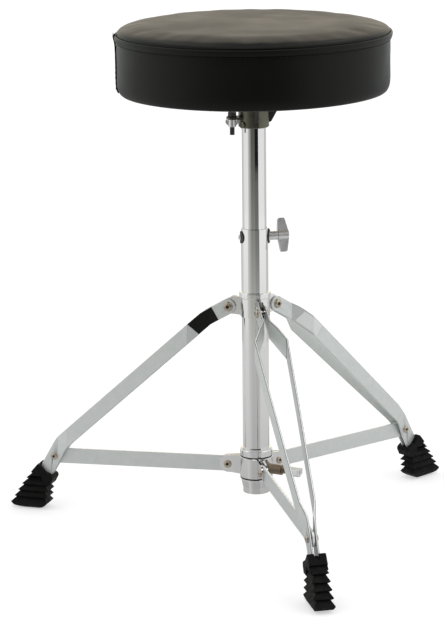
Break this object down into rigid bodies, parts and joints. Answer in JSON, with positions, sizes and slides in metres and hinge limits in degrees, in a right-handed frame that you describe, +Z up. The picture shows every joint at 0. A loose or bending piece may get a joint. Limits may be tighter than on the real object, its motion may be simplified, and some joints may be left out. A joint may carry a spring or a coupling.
{
  "type": "drum throne",
  "caption": "Round padded stool on a height-adjustable post in a tube, on a folding base of split-strap legs, struts and ribbed rubber feet.",
  "frame": {"origin": "floor level below the axis of the centre tube", "axes": "+Z up along the centre tube; leg A points along -Y, legs B and C follow at 120 degree steps"},
  "size_m": [0.4972, 0.431, 0.5455],
  "materials": {
    "bright_chrome": "mirror-bright plated tube",
    "zinc_strap": "satin zinc-plated flat steel",
    "clamp_metal": "plated die-cast metal, slightly dull",
    "brass_rivet": "yellow-passivated, satin",
    "bronze_bush": "dark bronze, dull",
    "black_plastic": "matt moulded",
    "foot_rubber": "matt ribbed",
    "cover_vinyl": "grained vinyl, semi-matt",
    "foam": "open foam",
    "plywood": "raw",
    "dark_steel": "dark olive-grey paint",
    "black_steel": "black paint",
    "bolt_steel": "zinc plated",
    "dark_label": "blank dark film",
    "pale_label": "blank pale film"
  },
  "bodies": {
    "frame": {"outer_tube": "bright_chrome", "tube_end_plug": "black_plastic", "upper_collar": "bright_chrome", "height_boss": "clamp_metal", "height_saddle_right": "black_plastic", "height_washer": "clamp_metal", "height_saddle_left": "black_plastic", "height_stop_rivet": "clamp_metal"},
    "post": {"post_tube": "bright_chrome"},
    "seat": {"seat_cover": "cover_vinyl", "seat_foam": "foam", "seat_board": "plywood", "seat_base_plate": "dark_steel", "seat_screws": "bolt_steel", "seat_receiver": "dark_steel", "seat_gussets": "black_steel", "seat_clamp_bolt": "black_steel"},
    "seat_nut": {"seat_wing_nut": "clamp_metal"},
    "height_bolt": {"height_wing_bolt": "clamp_metal"},
    "fold_collar": {"fold_sleeve": "bright_chrome", "fold_band": "bright_chrome", "fold_lug_rivets": "brass_rivet", "fold_boss": "bronze_bush"},
    "fold_bolt": {"fold_wing_bolt": "clamp_metal"},
    "leg_a": {"leg_a_strap_left": "zinc_strap", "leg_a_strap_right": "zinc_strap", "leg_a_foot": "foot_rubber", "leg_a_pivot_rivet": "brass_rivet", "leg_a_strut_rivet": "brass_rivet"},
    "strut_a": {"strut_a": "zinc_strap", "strut_a_pin": "brass_rivet"},
    "leg_b": {"leg_b_strap_left": "zinc_strap", "leg_b_strap_right": "zinc_strap", "leg_b_foot": "foot_rubber", "leg_b_pivot_rivet": "brass_rivet", "leg_b_strut_rivet": "brass_rivet", "leg_b_label": "pale_label"},
    "strut_b": {"strut_b": "zinc_strap", "strut_b_pin": "brass_rivet"},
    "leg_c": {"leg_c_strap_left": "zinc_strap", "leg_c_strap_right": "zinc_strap", "leg_c_foot": "foot_rubber", "leg_c_pivot_rivet": "brass_rivet", "leg_c_strut_rivet": "brass_rivet", "leg_c_label": "dark_label"},
    "strut_c": {"strut_c": "zinc_strap", "strut_c_pin": "brass_rivet"}
  },
  "joints": [
    {"name": "post_slide", "type": "slide", "parent": "frame", "child": "post", "axis": [0, 0, 1], "range_m": [-0.088, 0.045]},
    {"name": "seat_swivel", "type": "hinge", "parent": "post", "child": "seat", "pos_m": [0, 0, 0.455], "axis": [0, 0, 1], "continuous": true},
    {"name": "seat_nut_turn", "type": "hinge", "parent": "seat", "child": "seat_nut", "pos_m": [-0.02382, -0.00293, 0.442], "axis": [0, 0, 1], "continuous": true},
    {"name": "height_bolt_turn", "type": "hinge", "parent": "frame", "child": "height_bolt", "pos_m": [0.03, 0, 0.32], "axis": [1, 0, 0], "continuous": true},
    {"name": "collar_slide", "type": "slide", "parent": "frame", "child": "fold_collar", "axis": [0, 0, 1], "range_m": [0, 0.10272]},
    {"name": "fold_bolt_turn", "type": "hinge", "parent": "fold_collar", "child": "fold_bolt", "pos_m": [0.03064, -0.02571, 0.067], "axis": [0.766, -0.6428, 0], "continuous": true},
    {"name": "leg_a_fold", "type": "hinge", "parent": "frame", "child": "leg_a", "pos_m": [0, -0.0286, 0.2434], "axis": [1, 0, 0], "range_deg": [0, 43.56]},
    {"name": "strut_a_fold", "type": "hinge", "parent": "fold_collar", "child": "strut_a", "pos_m": [0, -0.0312, 0.0685], "axis": [1, 0, 0], "range_deg": [0, 82.69]},
    {"name": "leg_b_fold", "type": "hinge", "parent": "frame", "child": "leg_b", "pos_m": [0.02477, 0.0143, 0.2434], "axis": [-0.5, 0.866, 0], "range_deg": [0, 43.56]},
    {"name": "strut_b_fold", "type": "hinge", "parent": "fold_collar", "child": "strut_b", "pos_m": [0.02702, 0.0156, 0.0685], "axis": [-0.5, 0.866, 0], "range_deg": [0, 82.69]},
    {"name": "leg_c_fold", "type": "hinge", "parent": "frame", "child": "leg_c", "pos_m": [-0.02477, 0.0143, 0.2434], "axis": [-0.5, -0.866, 0], "range_deg": [0, 43.56]},
    {"name": "strut_c_fold", "type": "hinge", "parent": "fold_collar", "child": "strut_c", "pos_m": [-0.02702, 0.0156, 0.0685], "axis": [-0.5, -0.866, 0], "range_deg": [0, 82.69]}
  ],
  "couplings": [
    {"joint": "leg_a_fold", "follows": "collar_slide", "rad_per_m": 7.3991},
    {"joint": "strut_a_fold", "follows": "collar_slide", "rad_per_m": 14.048},
    {"joint": "leg_b_fold", "follows": "collar_slide", "rad_per_m": 7.3991},
    {"joint": "strut_b_fold", "follows": "collar_slide", "rad_per_m": 14.048},
    {"joint": "leg_c_fold", "follows": "collar_slide", "rad_per_m": 7.3991},
    {"joint": "strut_c_fold", "follows": "collar_slide", "rad_per_m": 14.048}
  ]
}
